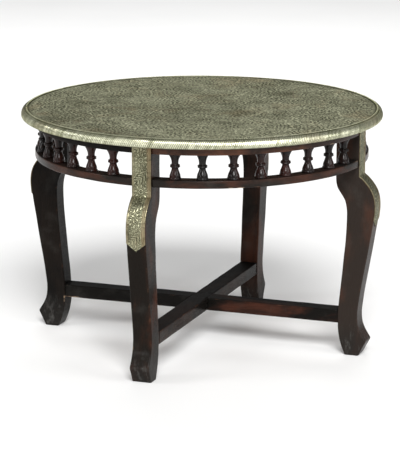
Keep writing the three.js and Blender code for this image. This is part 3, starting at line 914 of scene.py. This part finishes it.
def spindle(corner, quarter, index):
    """A turned spindle with its two pegs, a little different from its neighbours."""
    node = f"spindle_{corner}_{index}"
    low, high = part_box(node)
    x, y = (low[0] + high[0]) / 2 / MM, (low[1] + high[1]) / 2 / MM
    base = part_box(f"lower_rail_{corner}")[1][2] / MM
    random = np.random.default_rng(quarter * 20 + index)
    shape = smooth_line(SPINDLE_SHAPE, 0.75)
    stretch = random.normal(0, 0.012)
    shape[:, 0] *= 1 + 0.02 * random.standard_normal()
    shape[:, 0] += 0.12 * np.sin(shape[:, 1] * 0.3 + random.uniform(0, 6))
    shape[:, 1] += stretch * 12 * np.sin(math.pi * shape[:, 1] / SPINDLE_HEIGHT) + base
    top = base + SPINDLE_HEIGHT
    low_peg = [(PEG_RADIUS, base - 5.5), (PEG_RADIUS, base + 0.05)]
    high_peg = [(PEG_RADIUS, top - 0.05), (PEG_RADIUS, top + 5.5)]
    profile = np.vstack([low_peg, shape, high_peg])
    points = lathe(profile, SPINDLE_SIDES, (x, y))
    columns = len(profile)
    faces = grid_faces(SPINDLE_SIDES, columns, wrap_rows=True)
    faces.append([k * columns for k in range(SPINDLE_SIDES)][::-1])
    faces.append([k * columns + columns - 1 for k in range(SPINDLE_SIDES)])
    crest = np.interp(profile[:, 1] - base, [0, 1.7, 3.2, 19, 20.8, 22, 23.1, 24.3, 39, 41],
                      [0.3, 0.8, 0, 0, 0.85, 0, 0.85, 0, 0, 0.5])
    piece(f"baluster_{corner}_{index}", points, faces, SPINDLE_WOOD, "wood", [node],
          edge=np.tile(crest, SPINDLE_SIDES))


# ---------------------------------------------------------------- stretchers

def stretcher(name, node, across_y, lap_on_top, material):
    """A bar between two legs' inner faces, cut to half its height where it crosses the other."""
    low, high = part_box("stretcher_left_right")
    z0, z1 = low[2] / MM, high[2] / MM
    middle = (z0 + z1) / 2
    half = high[1] / MM
    end = 248.8
    lap = half + GAP * 0.5
    keep = (middle + 0.1, z1) if lap_on_top else (z0, middle - 0.1)
    outside = np.concatenate([np.linspace(lap, lap + 4, 3), np.linspace(lap + 14, end, 34)])
    stations = [(-x, (z0, z1)) for x in outside[::-1]]
    stations += [(x, keep) for x in np.linspace(-lap, lap, 7)]
    stations += [(x, (z0, z1)) for x in outside]
    rings, near = [], []
    for x, (bottom, top) in stations:
        full, edge = rounded_ring(half, (z1 - z0) / 2, 1.6, 5, 4)
        height = middle + full[:, 1]
        if (bottom, top) != (z0, z1):
            height = np.clip(height, bottom, top)
        rings.append(np.column_stack([np.full(len(full), x), -full[:, 0], height]))
        at_lap = 0.5 if abs(abs(x) - lap) < 0.1 else 0.0
        near.append(np.maximum(edge, at_lap))
    points = np.concatenate(rings)
    rough = uneven(points, 30, 0.3, 14 if lap_on_top else 17)
    away = np.abs(points[:, 0])
    hold = np.clip((away - lap) / 20, 0, 1) * np.clip((end - away) / 12, 0, 1)
    points = points + (rough - points) * hold[:, None]
    faces = capped(len(rings), len(rings[0]))
    if across_y:
        points = turned_about_z(points, QUARTER)
    piece(name, points, faces, material, "wood", [node], edge=np.concatenate(near))


# ---------------------------------------------------------------- build the table

embossed_top()
edge_band()
for quarter_turn, side_name in enumerate(SIDES):
    leg(side_name, quarter_turn)
    leg_strip(side_name, quarter_turn)
for quarter_turn, corner_name in enumerate(CORNERS):
    rail(corner_name, quarter_turn, "lower")
    rail(corner_name, quarter_turn, "upper")
    for number in range(1, 9):
        spindle(corner_name, quarter_turn, number)
stretcher("stretcher_bar_x", "stretcher_left_right", False, False, BAR_X_WOOD)
stretcher("stretcher_bar_y", "stretcher_front_back", True, True, BAR_Y_WOOD)

kept_nodes = {"top_board": BOARD_WOOD, "stretcher_screw": SCREW_STEEL}
kept_nodes.update({f"top_screw_{corner_name}": SCREW_STEEL for corner_name in CORNERS})
for node_name, node_material in kept_nodes.items():
    bpy.data.objects[node_name].data.materials.clear()
    bpy.data.objects[node_name].data.materials.append(node_material)


# ---------------------------------------------------------------- floor, light and camera

def floor():
    """A plain pale floor, a hair below the feet."""
    s = Shader("floor_pale")
    tone = s.mix(s.fit(s.noise(1.4, 3), 0.3, 0.7), (0.9, 0.9, 0.895), (0.87, 0.87, 0.865))
    pale = s.finish(base_color=tone, roughness=0.75)
    mesh = bpy.data.meshes.new("floor")
    reach, z = 14, -0.0002
    mesh.from_pydata([(-reach, -reach, z), (reach, -reach, z), (reach, reach, z), (-reach, reach, z)],
                     [], [(0, 1, 2, 3)])
    mesh.materials.append(pale)
    ground = bpy.data.objects.new("floor", mesh)
    bpy.context.scene.collection.objects.link(ground)


def softbox(name, place, width, height, watts):
    """A rectangular lamp that faces the table's middle."""
    data = bpy.data.lights.new(name, "AREA")
    data.shape = "RECTANGLE"
    data.size, data.size_y = width, height
    data.energy = watts
    lamp = bpy.data.objects.new(name, data)
    lamp.location = place
    middle = Vector((0, 0, 0.3))
    lamp.rotation_euler = (middle - Vector(place)).to_track_quat("-Z", "Y").to_euler()
    bpy.context.scene.collection.objects.link(lamp)


def studio():
    """One broad high light from the front, and weaker boxes that the brass reflects."""
    scene = bpy.context.scene
    world = scene.world or bpy.data.worlds.new("studio")
    scene.world = world
    world.use_nodes = True
    background = world.node_tree.nodes["Background"]
    background.inputs["Color"].default_value = (1, 1, 1, 1)
    background.inputs["Strength"].default_value = 0.25
    scene.view_settings.view_transform = "Standard"
    data = bpy.data.lights.new("front_light", "SUN")
    data.energy = 3.2
    data.angle = math.radians(24)
    lamp = bpy.data.objects.new("front_light", data)
    toward = Vector((0.5, -1.0, 0.95))
    lamp.rotation_euler = toward.to_track_quat("Z", "Y").to_euler()
    scene.collection.objects.link(lamp)
    softbox("back", (-1.0, 3.1, 2.2), 2.6, 1.3, 33)
    softbox("left", (-2.6, -1.8, 1.5), 1.0, 1.0, 26)
    softbox("right", (3.0, -0.5, 1.5), 1.6, 1.0, 30)
    softbox("strip_left", (-1.0, -2.9, 1.1), 0.22, 0.8, 8)
    softbox("strip_right", (2.3, -2.0, 1.1), 0.22, 0.8, 8)


CAMERA_PLACE = (1.41949, -3.91752, 1.17108)
CAMERA_FORWARD = (-0.33233752, 0.91506129, -0.22850516)
CAMERA_UP = (-0.07970771, 0.21415976, 0.9735411)


def camera():
    """A long lens about four metres away, looking a little down at one leg."""
    data = bpy.data.cameras.new("camera")
    data.sensor_width = 36
    data.lens = 197.49
    data.clip_end = 100
    eye = bpy.data.objects.new("camera", data)
    forward = Vector(CAMERA_FORWARD).normalized()
    right = forward.cross(Vector(CAMERA_UP)).normalized()
    up = right.cross(forward)
    turn = Matrix((right, up, -forward)).transposed()
    eye.matrix_world = Matrix.Translation(CAMERA_PLACE) @ turn.to_4x4()
    bpy.context.scene.collection.objects.link(eye)
    bpy.context.scene.camera = eye


floor()
studio()
camera()
